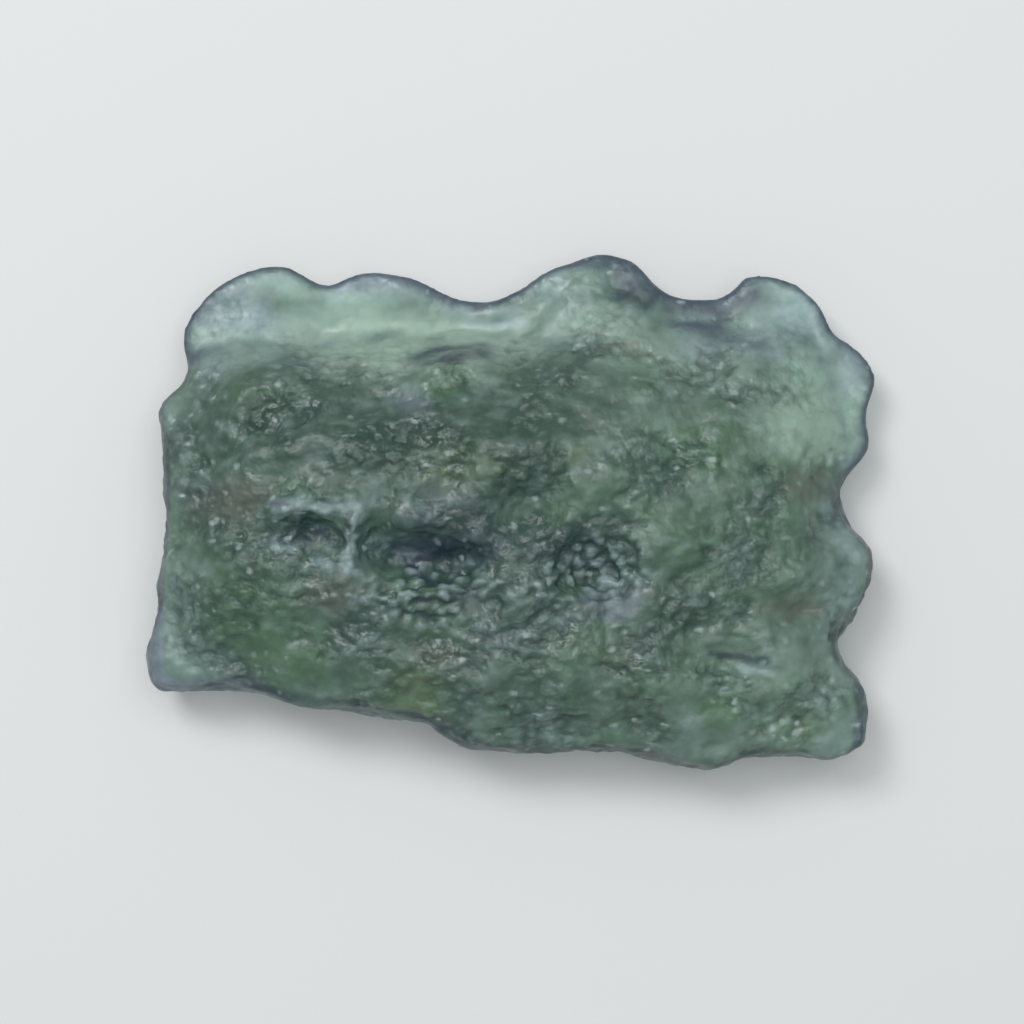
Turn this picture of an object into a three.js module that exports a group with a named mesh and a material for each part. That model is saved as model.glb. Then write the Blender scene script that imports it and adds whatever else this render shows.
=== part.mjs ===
// Raw moldavite: a flat piece of natural green glass that lies on its worn underside.
// X runs along its length, Y across it towards the thin lip, and Z up out of the surface it lies on.
// The slab is a box skin wrapped onto four edge curves, and etching has carved hollows and pits into it.
import * as THREE from "three";
import { ImprovedNoise } from "three/addons/math/ImprovedNoise.js";
import { mergeVertices } from "three/addons/utils/BufferGeometryUtils.js";

// Driving dimensions, in millimetres
const LENGTH = 32;
const THICKNESS = 7;
const RIM_ROUNDING = 0.75;
const CORNER_ROUNDING_SHARE = 0.3; // the rim's rounding narrows to this share at the four corners
const CORNER_REACH = 2; // and it does so over this length of each edge
const EDGE_FALL_WIDTH = 2.6;
const EDGE_FALL_DEPTH = 0.55;
const EDGE_RISE_SHARE = 0.6; // the underside rises to the edge by this share of the upper face's fall
const THINNEST = 1.3;
const LIP_WAVER = 0.9; // how far the foot of the thin lip strays from a straight line
const LIP_WAVER_LENGTH = 4.5;

// The box skin: how many faces it has along, across and up the wall, and how far they crowd to the edges
const COLUMNS = 55;
const ROWS = 37;
const WALL_ROWS = 4;
const CROWDING = 0.3;
const EDGE_REACH = 2.4; // the power by which an edge's waves die out towards the middle
const WELD = 1e-5; // vertices of the unit box closer than this are one vertex
const AT_EDGE = 1e-6; // a share this close to 0 or 1 lies on the edge itself

// The outline seen from above, from corner to corner, measured from the middle of the slab
const UPPER_EDGE = [
  // blunt lobe over the left corner
  [-13.55, 9.38], [-12.75, 10.05], [-11.9, 10.5], [-10.85, 10.75], [-9.95, 10.75], [-9.4, 10.55],
  [-8.65, 10.1],
  // low rise, and the long dip after it
  [-7.85, 9.9], [-7.3, 10.3], [-6.5, 10.55], [-5.4, 10.5], [-4.25, 10.25], [-3.25, 9.8], [-2.25, 9.4],
  [-1.2, 9.3], [-0.5, 9.45],
  // tall crest
  [0.4, 9.9], [1.25, 10.45], [2.2, 10.85], [2.9, 11.1], [3.25, 11.32], [4.1, 11.3], [4.9, 11.15],
  [5.6, 10.75],
  // flat-bottomed notch
  [6.1, 10.1], [6.6, 9.6], [7.25, 9.4], [8.2, 9.38], [9.1, 9.45], [9.6, 9.85],
  // lobe over the right corner
  [10, 10.3], [10.85, 10.45], [11.8, 10.25], [12.6, 9.8], [13.3, 9.2],
];
const RIGHT_EDGE = [
  [13.3, 9.2], [13.8, 8.45], [14.1, 7.7],
  // upper lobe
  [14.85, 7.3], [15.55, 6.7], [15.98, 5.9], [15.85, 5.15], [15.52, 4.35],
  // small lobe and the wide bay below it
  [15.6, 3.65], [15.8, 2.95], [15.45, 2.25], [14.75, 1.65], [14.3, 1.1], [14.18, 0.35], [14.6, -0.5],
  // middle lobe
  [15.25, -1.1], [15.75, -1.7], [15.85, -2.5], [15.65, -3.45], [15.25, -4.25], [14.65, -5],
  // sharp nick
  [14, -5.55], [14.1, -6.1],
  // lobe over the lower corner
  [14.75, -6.75], [15.25, -7.45], [15.48, -8.35], [15.52, -9.3], [15.4, -10.15],
];
const LOWER_EDGE = [
  [-15.4, -7.8], [-14.55, -7.9], [-13, -7.9], [-11.4, -7.9], [-10.5, -8.1], [-9.6, -8.5], [-8.7, -8.7],
  [-7.4, -8.6], [-6.5, -8.9], [-5.35, -9.05], [-3.9, -9.25], [-3.15, -9.8], [-2.25, -10.3], [-1.2, -10.5],
  [-0.5, -10.45], [0.65, -10.6], [1.7, -10.7], [3.25, -10.55], [5.15, -10.7], [6.55, -10.95], [7.8, -11.25],
  [8.9, -11.35], [9.8, -10.95], [10.75, -10.7], [12.05, -10.7], [13.25, -10.9], [13.95, -10.95],
  [14.85, -10.6], [15.4, -10.15],
];
const LEFT_EDGE = [
  [-15.4, -7.8], [-15.8, -7.4], [-15.95, -6.5], [-16.02, -5.7], [-15.8, -4.7], [-15.55, -3.15],
  [-15.45, -1.35], [-15.3, 0.25], [-15.2, 1.45], [-15.4, 2.7], [-15.65, 3.6], [-15.67, 4.4], [-15.4, 5],
  [-14.8, 5.45], [-14.4, 5.75], [-14.3, 6.25], [-14.5, 6.75], [-14.6, 7.45], [-14.5, 8.05], [-14.15, 8.7],
  [-13.55, 9.38],
];

// Heights over the resting surface at seven stations from left to right, in rows from the lip down
const STATION_LEFT = -15;
const STATION_RIGHT = 15;
const STATION_ROWS = [10.5, 7.6, 5.4, 2.5, -2, -6.5, -10.5];
const UPPER_FACE = [
  [3.0, 3.1, 3.2, 3.1, 3.6, 3.3, 3.3],
  [3.5, 3.1, 2.9, 3.3, 3.8, 3.5, 3.2],
  [4.5, 5.2, 5.4, 5.5, 5.4, 4.6, 3.1],
  [5.1, 6.3, 6.7, 6.8, 6.5, 5.5, 3.4],
  [5.0, 6.4, 6.8, 6.9, 6.6, 5.9, 4.6],
  [4.7, 5.7, 6.2, 6.4, 6.3, 5.8, 4.7],
  [4.2, 4.8, 5.2, 5.5, 5.5, 5.2, 4.6],
];
const LOWER_FACE = [
  [1.3, 1.3, 1.3, 1.4, 1.3, 1.3, 1.4],
  [1.1, 1.0, 1.0, 1.1, 0.9, 1.0, 1.2],
  [0.9, 0.7, 0.6, 0.7, 0.6, 0.7, 1.0],
  [0.8, 0.5, 0.5, 0.4, 0.5, 0.5, 0.9],
  [0.8, 0.5, 0.6, 0.5, 0.6, 0.5, 0.8],
  [0.9, 0.6, 0.5, 0.6, 0.5, 0.5, 0.8],
  [1.1, 0.9, 0.8, 0.9, 0.9, 0.8, 1.0],
];

// Low swellings of the underside, worn flat in the plane of the resting surface: centre and half width
const WORN_SWELLINGS = [
  { at: [0.3, -0.6], half: 4.6 },
  { at: [-10.6, 2.4], half: 3.2 },
  { at: [10.6, 2.8], half: 3.0 },
  { at: [-9.2, -4.8], half: 2.8 },
  { at: [9.2, -7.2], half: 3.2 },
  { at: [-2.2, 6.0], half: 2.6 },
];
const SWELLING_HEIGHT = 0.95;

// Named hollows in the upper face: centre, half length, half width, depth, and turn in degrees
const HOLLOWS = [
  { at: [-3.4, -2.0], half: [3.1, 1.15], depth: 1.5, turn: -9 }, // long one in the middle
  { at: [-8.2, -1.1], half: [1.35, 0.85], depth: 1.0, turn: -14 }, // left of the crest
  { at: [3.5, -2.6], half: [2.1, 1.2], depth: 1.0, turn: -12 }, // right of the middle
  { at: [0.3, -0.2], half: [1.7, 1.2], depth: 0.7, turn: 0 }, // shallow one between them
  { at: [-5.9, -1.0], half: [0.7, 1.3], depth: 0.8, turn: -12 }, // right of the crest
  { at: [-4.6, 3.0], half: [1.2, 0.9], depth: 0.5, turn: 0 },
  { at: [7.8, 8.5], half: [2.2, 0.7], depth: 0.6, turn: 0 }, // under the notch
  { at: [4.6, 10.0], half: [1.2, 0.7], depth: 0.5, turn: -40 }, // shoulder of the tall crest
  { at: [9.6, -6.6], half: [1.9, 0.55], depth: 0.75, turn: -12 }, // crease over the lower corner
  { at: [13.4, 7.9], half: [0.7, 0.9], depth: 0.8, turn: 30 },
  { at: [13.5, 0.2], half: [1.0, 1.3], depth: 0.3, turn: 0 }, // behind the bay
  { at: [12.2, -4.3], half: [1.3, 0.7], depth: 0.6, turn: 20 },
  { at: [-2.5, 7.9], half: [4.6, 0.8], depth: 0.35, turn: -3 }, // trough behind the lip
];

const HOLLOW_FLOOR = 0.25; // share of the half size out to which a hollow has its full depth
const HOLLOW_BRIM = 1.2; // and the share at which it ends

// The thin crest between two hollows: a level stretch, then a spur that runs down from its right end
const CREST = [
  [-10, 0.1],
  [-6.5, 0.2],
  [-7.2, -2.7],
];
const CREST_HEIGHT = 0.38;
const CREST_HALF_WIDTH = 0.5;

// Etch pits all over the skin, longer along X, the way the melt flowed
const PIT_SEED = 41;
const PIT_TRIES = 3000;
const PIT_RADIUS = [1.1, 2.2];
const PIT_DEPTH_SHARE = 0.32;
const PIT_STRETCH = 1.3;
const PIT_SPACING = 0.68;
const PIT_THICKNESS_SHARE = 0.2;
const PIT_WALL_SHARE = 0.3; // pits on the wall are this much as deep, so the outline keeps its shape
const WEAR_REACH = 0.7; // wear has made the pits shallower up to this height over the resting surface

// Slow swells under the pits
const SWELLS = [
  { length: 6.5, height: 0.32 },
  { length: 3.4, height: 0.13 },
];
const UPPER_SWELLS_AT = 7; // where the noise is read for the upper face; the lower face reads it at 0

const noise = new ImprovedNoise();

function edgeCurve(points) {
  const along = points.map(([x, y]) => new THREE.Vector3(x, y, 0));
  return new THREE.CatmullRomCurve3(along, false, "centripetal");
}

const edges = {
  upper: edgeCurve(UPPER_EDGE),
  right: edgeCurve([...RIGHT_EDGE].reverse()),
  lower: edgeCurve(LOWER_EDGE),
  left: edgeCurve(LEFT_EDGE),
};

// A point of one edge moved in from the outline by the rounding, and the way out from there
function rimAt(edge, share) {
  const point = edges[edge].getPointAt(share);
  const tangent = edges[edge].getTangentAt(share);
  const outwards = new THREE.Vector3(-tangent.y, tangent.x, 0);
  if (edge === "lower" || edge === "right") outwards.negate();
  const fromCorner = Math.min(share, 1 - share) * edges[edge].getLength();
  const full = THREE.MathUtils.smoothstep(fromCorner, 0, CORNER_REACH);
  const rounding = RIM_ROUNDING * THREE.MathUtils.lerp(CORNER_ROUNDING_SHARE, 1, full);
  return { outwards, rounding, inner: point.clone().addScaledVector(outwards, -rounding) };
}

// At a corner two edges meet, and the skin turns on the mean of their two directions
function cornerAt(first, firstShare, second, secondShare) {
  const a = rimAt(first, firstShare);
  const b = rimAt(second, secondShare);
  const outwards = a.outwards.clone().add(b.outwards).normalize();
  const tip = edges[first].getPointAt(firstShare);
  return { outwards, rounding: a.rounding, inner: tip.addScaledVector(outwards, -a.rounding) };
}

const corners = {
  upperLeft: cornerAt("upper", 0, "left", 1),
  upperRight: cornerAt("upper", 1, "right", 1),
  lowerLeft: cornerAt("lower", 0, "left", 0),
  lowerRight: cornerAt("lower", 1, "right", 0),
};

function rim(u, v) {
  if (u === 0 && v === 0) return corners.lowerLeft;
  if (u === 1 && v === 0) return corners.lowerRight;
  if (u === 0 && v === 1) return corners.upperLeft;
  if (u === 1 && v === 1) return corners.upperRight;
  if (v === 1) return rimAt("upper", u);
  if (v === 0) return rimAt("lower", u);
  return u === 0 ? rimAt("left", v) : rimAt("right", v);
}

// A Coons patch: straight lines between the corners, and each edge's waves added with a reach of their own
function plan(u, v) {
  const between = (a, b, t) => a.inner.clone().lerp(b.inner, t);
  const lower = between(corners.lowerLeft, corners.lowerRight, u);
  const upper = between(corners.upperLeft, corners.upperRight, u);
  const left = between(corners.lowerLeft, corners.upperLeft, v);
  const right = between(corners.lowerRight, corners.upperRight, v);
  const place = lower.clone().lerp(upper, v);
  const addWaves = (edgePoint, chordPoint, nearness) =>
    place.addScaledVector(edgePoint.inner.clone().sub(chordPoint), nearness ** EDGE_REACH);
  addWaves(rim(u, 0), lower, 1 - v);
  addWaves(rim(u, 1), upper, v);
  addWaves(rim(0, v), left, 1 - u);
  addWaves(rim(1, v), right, u);
  return place;
}

// Heights between the stations, eased so that no crease shows at a row or column
function heightBetween(table, x, y) {
  const gaps = table[0].length - 1;
  const along = THREE.MathUtils.clamp((x - STATION_LEFT) / (STATION_RIGHT - STATION_LEFT), 0, 1) * gaps;
  const column = Math.min(Math.floor(along), gaps - 1);
  let row = 0;
  while (row < STATION_ROWS.length - 2 && y < STATION_ROWS[row + 1]) row += 1;
  const down = (STATION_ROWS[row] - y) / (STATION_ROWS[row] - STATION_ROWS[row + 1]);
  const s = THREE.MathUtils.smoothstep(along - column, 0, 1);
  const t = THREE.MathUtils.smoothstep(down, 0, 1);
  const over = THREE.MathUtils.lerp(table[row][column], table[row][column + 1], s);
  const under = THREE.MathUtils.lerp(table[row + 1][column], table[row + 1][column + 1], s);
  return THREE.MathUtils.lerp(over, under, t);
}

// Each swell reads the noise at a height of its own, so that their waves don't line up
function swell(x, y, z) {
  return SWELLS.reduce(
    (sum, { length, height }) => sum + height * noise.noise(x / length, y / length, z / length + length),
    0,
  );
}

function hollowDepth(x, y) {
  let deepest = 0;
  for (const { at, half, depth, turn } of HOLLOWS) {
    const angle = THREE.MathUtils.degToRad(turn);
    const dx = x - at[0];
    const dy = y - at[1];
    const across = (dx * Math.cos(angle) + dy * Math.sin(angle)) / half[0];
    const down = (dy * Math.cos(angle) - dx * Math.sin(angle)) / half[1];
    const reach = 1 - THREE.MathUtils.smoothstep(Math.hypot(across, down), HOLLOW_FLOOR, HOLLOW_BRIM);
    deepest = Math.max(deepest, depth * reach);
  }
  return deepest;
}

function crestHeight(x, y) {
  const here = new THREE.Vector3(x, y, 0);
  const ends = CREST.map(([cx, cy]) => new THREE.Vector3(cx, cy, 0));
  const apartFrom = (line) => line.closestPointToPoint(here, true, new THREE.Vector3()).distanceTo(here);
  const level = apartFrom(new THREE.Line3(ends[0], ends[1]));
  const spur = apartFrom(new THREE.Line3(ends[1], ends[2]));
  return CREST_HEIGHT * Math.exp(-((Math.min(level, spur) / CREST_HALF_WIDTH) ** 2));
}

function edgeFall(u, v) {
  const inside = Math.min(u, 1 - u) * LENGTH;
  const below = Math.min(v, 1 - v) * (UPPER_EDGE[0][1] - LOWER_EDGE[0][1]);
  const reach = THREE.MathUtils.smoothstep(Math.min(inside, below), 0, EDGE_FALL_WIDTH);
  return EDGE_FALL_DEPTH * (1 - reach);
}

function upperFace(x, y, u, v) {
  const strayed = y + LIP_WAVER * noise.noise(x / LIP_WAVER_LENGTH, 0, 0);
  const raised = heightBetween(UPPER_FACE, x, strayed) + swell(x, y, UPPER_SWELLS_AT) + crestHeight(x, y);
  return raised - edgeFall(u, v) - hollowDepth(x, y);
}

function lowerFace(x, y, u, v) {
  const lowest = WORN_SWELLINGS.reduce((most, { at, half }) => {
    const apart = Math.hypot(x - at[0], y - at[1]) / half;
    return Math.max(most, SWELLING_HEIGHT * Math.exp(-(apart ** 2)));
  }, 0);
  const rounded = edgeFall(u, v) * EDGE_RISE_SHARE;
  return Math.max(heightBetween(LOWER_FACE, x, y) + swell(x, y, 0) + rounded - lowest, 0);
}

function faces(x, y, u, v) {
  const low = lowerFace(x, y, u, v);
  return { low, high: Math.max(upperFace(x, y, u, v), low + THINNEST) };
}

// A share of the way along or across the box, crowded towards the edges, which keep exactly 0 and 1
function crowded(share) {
  if (share < AT_EDGE) return 0;
  if (share > 1 - AT_EDGE) return 1;
  return share - (CROWDING * Math.sin(2 * Math.PI * share)) / (2 * Math.PI);
}

// A skin vertex of the unit box, wrapped onto the slab
function wrap(a, b, c) {
  const u = crowded(a + 0.5);
  const v = crowded(b + 0.5);
  const onWall = u === 0 || u === 1 || v === 0 || v === 1;
  if (!onWall) {
    const { x, y } = plan(u, v);
    const { low, high } = faces(x, y, u, v);
    return { place: new THREE.Vector3(x, y, c > 0 ? high : low), thickness: high - low };
  }
  const { inner, outwards, rounding } = rim(u, v);
  const { low, high } = faces(inner.x, inner.y, u, v);
  const around = c * Math.PI;
  const place = inner.clone().addScaledVector(outwards, rounding * Math.cos(around));
  place.z = (high + low) / 2 + ((high - low) / 2) * Math.sin(around);
  return { place, thickness: high - low };
}

function wrappedSlab() {
  const box = new THREE.BoxGeometry(1, 1, 1, COLUMNS, ROWS, WALL_ROWS);
  box.deleteAttribute("normal");
  box.deleteAttribute("uv");
  const skin = mergeVertices(box, WELD);
  const places = skin.getAttribute("position");
  const thicknesses = new Float32Array(places.count);
  for (let i = 0; i < places.count; i += 1) {
    const { place, thickness } = wrap(places.getX(i), places.getY(i), places.getZ(i));
    places.setXYZ(i, place.x, place.y, place.z);
    thicknesses[i] = thickness;
  }
  skin.computeVertexNormals();
  skin.setAttribute("thickness", new THREE.BufferAttribute(thicknesses, 1));
  return skin;
}

// Pits sit at skin vertices picked by a seeded draw, each clear of those before it
function drawPits(skin) {
  const places = skin.getAttribute("position");
  const pits = [];
  THREE.MathUtils.seededRandom(PIT_SEED);
  const draw = () => THREE.MathUtils.seededRandom();
  for (let tried = 0; tried < PIT_TRIES; tried += 1) {
    const at = new THREE.Vector3().fromBufferAttribute(places, Math.floor(draw() * places.count));
    const radius = THREE.MathUtils.lerp(PIT_RADIUS[0], PIT_RADIUS[1], draw() ** 2);
    const clear = pits.every((pit) => pit.at.distanceTo(at) > (pit.radius + radius) * PIT_SPACING);
    if (clear) pits.push({ at, radius });
  }
  return pits;
}

function pitDepth(place, pits) {
  let deepest = 0;
  for (const { at, radius } of pits) {
    const apart = Math.hypot((place.x - at.x) / PIT_STRETCH, place.y - at.y, place.z - at.z) / radius;
    if (apart < 1) deepest = Math.max(deepest, radius * PIT_DEPTH_SHARE * (1 - apart ** 2));
  }
  return deepest;
}

// The faces are carved straight up or down and the wall square to itself, so the skin never folds
function carve(skin, pits) {
  const places = skin.getAttribute("position");
  const normals = skin.getAttribute("normal");
  const thicknesses = skin.getAttribute("thickness");
  const place = new THREE.Vector3();
  const inwards = new THREE.Vector3();
  for (let i = 0; i < places.count; i += 1) {
    place.fromBufferAttribute(places, i);
    inwards.fromBufferAttribute(normals, i).negate();
    const steep = 1 - Math.abs(inwards.z);
    inwards.x *= steep;
    inwards.y *= steep;
    inwards.normalize();
    const most = thicknesses.getX(i) * PIT_THICKNESS_SHARE;
    const unworn = THREE.MathUtils.smoothstep(place.z, 0, WEAR_REACH);
    const depth = unworn * Math.min(pitDepth(place, pits), most);
    place.addScaledVector(inwards, depth * THREE.MathUtils.lerp(1, PIT_WALL_SHARE, steep));
    places.setXYZ(i, place.x, place.y, place.z);
  }
}

// Brings the stone to its driving size, with the frame's origin under the middle of the box that holds it
function fitToSize(skin) {
  skin.computeBoundingBox();
  const middle = skin.boundingBox.getCenter(new THREE.Vector3());
  const size = skin.boundingBox.getSize(new THREE.Vector3());
  skin.translate(-middle.x, -middle.y, 0);
  skin.scale(LENGTH / size.x, LENGTH / size.x, THICKNESS / size.z);
}

function moldaviteGeometry() {
  const skin = wrappedSlab();
  carve(skin, drawPits(skin));
  skin.deleteAttribute("thickness");
  fitToSize(skin);
  skin.computeVertexNormals();
  return skin;
}

const glass = new THREE.MeshStandardMaterial({ color: 0x4f6b57, roughness: 0.25, metalness: 0 });
const moldavite = new THREE.Mesh(moldaviteGeometry(), glass);
moldavite.name = "moldavite";

const stone = new THREE.Group();
stone.add(moldavite);

export default stone;
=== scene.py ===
# %% [markdown]
# Raw moldavite is a splash of molten glass that cooled in flight and then lay in the ground for millions
# of years. Groundwater etched its skin into cups, grains and scallops. This lesson dresses the measured
# solid of one flat piece: first its skin gets the fine etching, then the glass gets its cloudy green.

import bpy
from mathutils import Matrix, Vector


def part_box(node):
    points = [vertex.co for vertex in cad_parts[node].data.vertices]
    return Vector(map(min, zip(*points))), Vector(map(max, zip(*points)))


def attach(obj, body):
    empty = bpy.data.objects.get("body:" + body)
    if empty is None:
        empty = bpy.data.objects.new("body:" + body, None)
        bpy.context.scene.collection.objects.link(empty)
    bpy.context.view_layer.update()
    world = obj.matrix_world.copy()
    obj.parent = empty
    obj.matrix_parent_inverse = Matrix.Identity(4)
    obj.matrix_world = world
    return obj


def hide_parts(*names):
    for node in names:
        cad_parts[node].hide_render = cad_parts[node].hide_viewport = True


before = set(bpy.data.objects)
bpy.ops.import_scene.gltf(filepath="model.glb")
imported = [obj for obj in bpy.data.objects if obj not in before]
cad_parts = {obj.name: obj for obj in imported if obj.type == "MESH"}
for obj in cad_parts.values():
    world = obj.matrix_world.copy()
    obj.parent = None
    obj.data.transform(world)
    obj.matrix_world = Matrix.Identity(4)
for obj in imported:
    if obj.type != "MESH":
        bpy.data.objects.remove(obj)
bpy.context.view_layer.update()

import bmesh
import bpy
from mathutils import Matrix, Vector

MM = 0.001  # one millimetre in Blender's metres
stone_low, stone_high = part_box("moldavite")
print("stone, mm:", [round(side / MM, 2) for side in stone_high - stone_low])

# %% [markdown]
# The photograph looks straight down on the stone, so the camera hangs over it and looks down too. A long
# lens keeps the sides from leaning outwards. The distance follows from one measure: the stone is 32 mm
# long and covers 730 of the picture's 1024 pixels at the height of its edge.

# %% Hang the camera over the stone
PICTURE_PIXELS = 1024
STONE_PIXELS = 730  # length of the stone in the picture
STONE_MIDDLE = (513, 511.5)  # pixel over the middle of the stone
EDGE_HEIGHT = 2.4 * MM  # height of the widest part of the edge
LENS = 100
SENSOR = 36

pixel = (stone_high.x - stone_low.x) / STONE_PIXELS
half_frame = PICTURE_PIXELS / 2
lens = bpy.data.cameras.new("camera")
lens.lens = LENS
lens.sensor_width = SENSOR
lens.clip_start = MM
camera = bpy.data.objects.new("camera", lens)
camera.location.x = (half_frame - STONE_MIDDLE[0]) * pixel
camera.location.y = (STONE_MIDDLE[1] - half_frame) * pixel
camera.location.z = EDGE_HEIGHT + PICTURE_PIXELS * pixel * LENS / SENSOR
bpy.context.scene.collection.objects.link(camera)
bpy.context.scene.camera = camera
print("camera height, mm:", round(camera.location.z / MM, 1))

# %% [markdown]
# The measured solid has flat facets about half a millimetre wide, and the real skin has none. Sculpting
# could smooth them away, but a chain of modifiers does it the same way every time. So a copy is merged and
# scaled up until one unit is one millimetre, because etch pits are then plain numbers near one.

# %% Copy the stone in millimetres


def copy_in_millimetres(name, source):
    mesh = source.data.copy()
    shape = bmesh.new()
    shape.from_mesh(mesh)
    bmesh.ops.remove_doubles(shape, verts=shape.verts, dist=0.001 * MM)
    bmesh.ops.scale(shape, vec=Vector((1, 1, 1)) / MM, verts=shape.verts)
    shape.to_mesh(mesh)
    shape.free()
    mesh.materials.clear()
    copy = bpy.data.objects.new(name, mesh)
    bpy.context.scene.collection.objects.link(copy)
    return copy


skin = copy_in_millimetres("moldavite_stone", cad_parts["moldavite"])
print("copy:", len(skin.data.polygons), "facets")

# %% [markdown]
# Subdivision rounds the facets off, and a voxel remesh lays an even net of small squares over the result.
# The net matters, because the etching moves its points, and would look smeared where squares are long.

# %% Cover it with an even net
NET = 0.144  # width of the net's squares, mm
SOFTENING = 4  # passes that take the last edges off


def apply_modifiers(piece):
    """The shape that the modifiers give becomes the piece's own mesh."""
    ready = bpy.context.evaluated_depsgraph_get()
    made = bpy.data.meshes.new_from_object(piece.evaluated_get(ready), depsgraph=ready)
    piece.modifiers.clear()
    piece.data = made


rounding = skin.modifiers.new("rounding", "SUBSURF")
rounding.levels = 2
rounding.render_levels = 2
netting = skin.modifiers.new("netting", "REMESH")
netting.mode = "VOXEL"
netting.voxel_size = NET
softening = skin.modifiers.new("softening", "SMOOTH")
softening.factor = 0.5
softening.iterations = SOFTENING
apply_modifiers(skin)
print("net:", len(skin.data.polygons), "squares")

# %% [markdown]
# The etching and the colour are both made with nodes. These helpers place a node and give back what comes
# out of it. A value that goes in is either a plain number or the output of another node.

# %% Place nodes


def feed(tree, socket, value):
    if isinstance(value, bpy.types.NodeSocket):
        tree.links.new(value, socket)
    else:
        socket.default_value = value


def place(tree, kind, inputs=None, **settings):
    made = tree.nodes.new(kind)
    for name, value in settings.items():
        setattr(made, name, value)
    for name, value in (inputs or {}).items():
        feed(tree, made.inputs[name], value)
    return made


def number(tree, operation, first, second=0.0, **settings):
    inputs = {0: first, 1: second}
    return place(tree, "ShaderNodeMath", inputs, operation=operation, **settings).outputs[0]


def times(tree, first, *others):
    for other in others:
        first = number(tree, "MULTIPLY", first, other)
    return first


def plus(tree, first, *others):
    for other in others:
        first = number(tree, "ADD", first, other)
    return first


def minus(tree, first, second):
    return number(tree, "SUBTRACT", first, second)


# %% Place nodes that work on points in space


def vector(tree, operation, first, second=(0.0, 0.0, 0.0)):
    return place(tree, "ShaderNodeVectorMath", {0: first, 1: second}, operation=operation).outputs[0]


def scaled(tree, point, share):
    inputs = {0: point, "Scale": share}
    return place(tree, "ShaderNodeVectorMath", inputs, operation="SCALE").outputs[0]


def length(tree, point):
    return place(tree, "ShaderNodeVectorMath", {0: point}, operation="LENGTH").outputs["Value"]


def dot(tree, first, second):
    inputs = {0: first, 1: second}
    return place(tree, "ShaderNodeVectorMath", inputs, operation="DOT_PRODUCT").outputs["Value"]


def upright_part(tree, point):
    return place(tree, "ShaderNodeSeparateXYZ", {0: point}).outputs["Z"]


# %% Place ramps, clouds and blends


def ramp(tree, value, start, end, low=0.0, high=1.0):
    """A smooth step: low before start, high after end."""
    inputs = {"Value": value, "From Min": start, "From Max": end, "To Min": low, "To Max": high}
    return place(tree, "ShaderNodeMapRange", inputs, interpolation_type="SMOOTHSTEP").outputs["Result"]


def clouds(tree, where, size, detail=2.0, roughness=0.5):
    """Soft noise between 0 and 1 whose lumps are about size wide."""
    inputs = {"Vector": where, "Scale": 1.0 / size, "Detail": detail, "Roughness": roughness}
    return place(tree, "ShaderNodeTexNoise", inputs).outputs[0]


def drift(tree, where, size, detail=2.0, roughness=0.5):
    """Soft noise in three directions at once, about half a unit either way at most."""
    inputs = {"Vector": where, "Scale": 1.0 / size, "Detail": detail, "Roughness": roughness}
    noise = place(tree, "ShaderNodeTexNoise", inputs).outputs["Color"]
    return vector(tree, "SUBTRACT", noise, (0.5, 0.5, 0.5))


def blend(tree, share, first, second):
    """The first colour where share is 0, and the second where it is 1."""
    mixer = place(tree, "ShaderNodeMix", data_type="RGBA")
    sockets = {socket.identifier: socket for socket in (*mixer.inputs, *mixer.outputs)}
    feed(tree, sockets["Factor_Float"], share)
    feed(tree, sockets["A_Color"], first)
    feed(tree, sockets["B_Color"], second)
    return sockets["Result_Color"]


# %% [markdown]
# A dressing tree does the rest of the shaping. It is a Geometry Nodes tree, because the etching and the
# tints follow rules that run over the whole skin, and a tree keeps each rule as a few nodes with its sizes
# in sight. Sculpting by hand would also give a fine stone, but never the same one twice. The tree takes
# its sizes as named inputs. The cells that follow add to it one step at a time.

# %% Start the dressing tree
SIZES = {
    "Cup Size": 1.6,
    "Cup Depth": 0.15,
    "Pit Size": 0.6,
    "Pit Depth": 0.1,
    "Crumb Size": 0.42,
    "Crumb Depth": 0.22,
    "Frosting Size": 0.45,
    "Frosting Depth": 0.12,
    "Flow Stretch": 1.25,
    "Warp": 0.6,
    "Thin Lip": 2.0,
    "Thick Middle": 3.6,
    "Lip Share": 0.35,
    "Wall Share": 0.5,
    "Wall Cup Size": 1.8,
    "Wall Cup Depth": 0.24,
    "Worn Height": 0.35,
}

dressing = bpy.data.node_groups.new("dressed skin", "GeometryNodeTree")
dressing.is_modifier = True
dressing.interface.new_socket("Geometry", in_out="OUTPUT", socket_type="NodeSocketGeometry")
dressing.interface.new_socket("Geometry", in_out="INPUT", socket_type="NodeSocketGeometry")
for name in SIZES:
    dressing.interface.new_socket(name, in_out="INPUT", socket_type="NodeSocketFloat")
dressing.interface.new_socket("Glass", in_out="INPUT", socket_type="NodeSocketMaterial")
given = place(dressing, "NodeGroupInput").outputs
position = place(dressing, "GeometryNodeInputPosition").outputs[0]
normal = place(dressing, "GeometryNodeInputNormal").outputs[0]
inwards = scaled(dressing, normal, -1.0)
seen_from_above = vector(dressing, "MULTIPLY", position, (1.0, 1.0, 0.0))
print("dressing tree:", len(SIZES), "sizes")


def noted(tree, geometry, name, value, kind="FLOAT"):
    """Write a value on every point of the skin, and give back the skin and the value as written."""
    inputs = {"Geometry": geometry, "Name": name, "Value": value}
    written = place(tree, "GeometryNodeStoreNamedAttribute", inputs, data_type=kind)
    read = place(tree, "GeometryNodeInputNamedAttribute", {"Name": name}, data_type=kind)
    return written.outputs[0], read.outputs[0]


def evened(tree, value, passes):
    """Spread a value along the skin. Each pass reaches one square of the net further."""
    inputs = {"Value": value, "Iterations": passes}
    return place(tree, "GeometryNodeBlurAttribute", inputs).outputs[0]


def print_nodes(tree):
    print(tree.name + ":", len(tree.nodes), "nodes")


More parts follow.
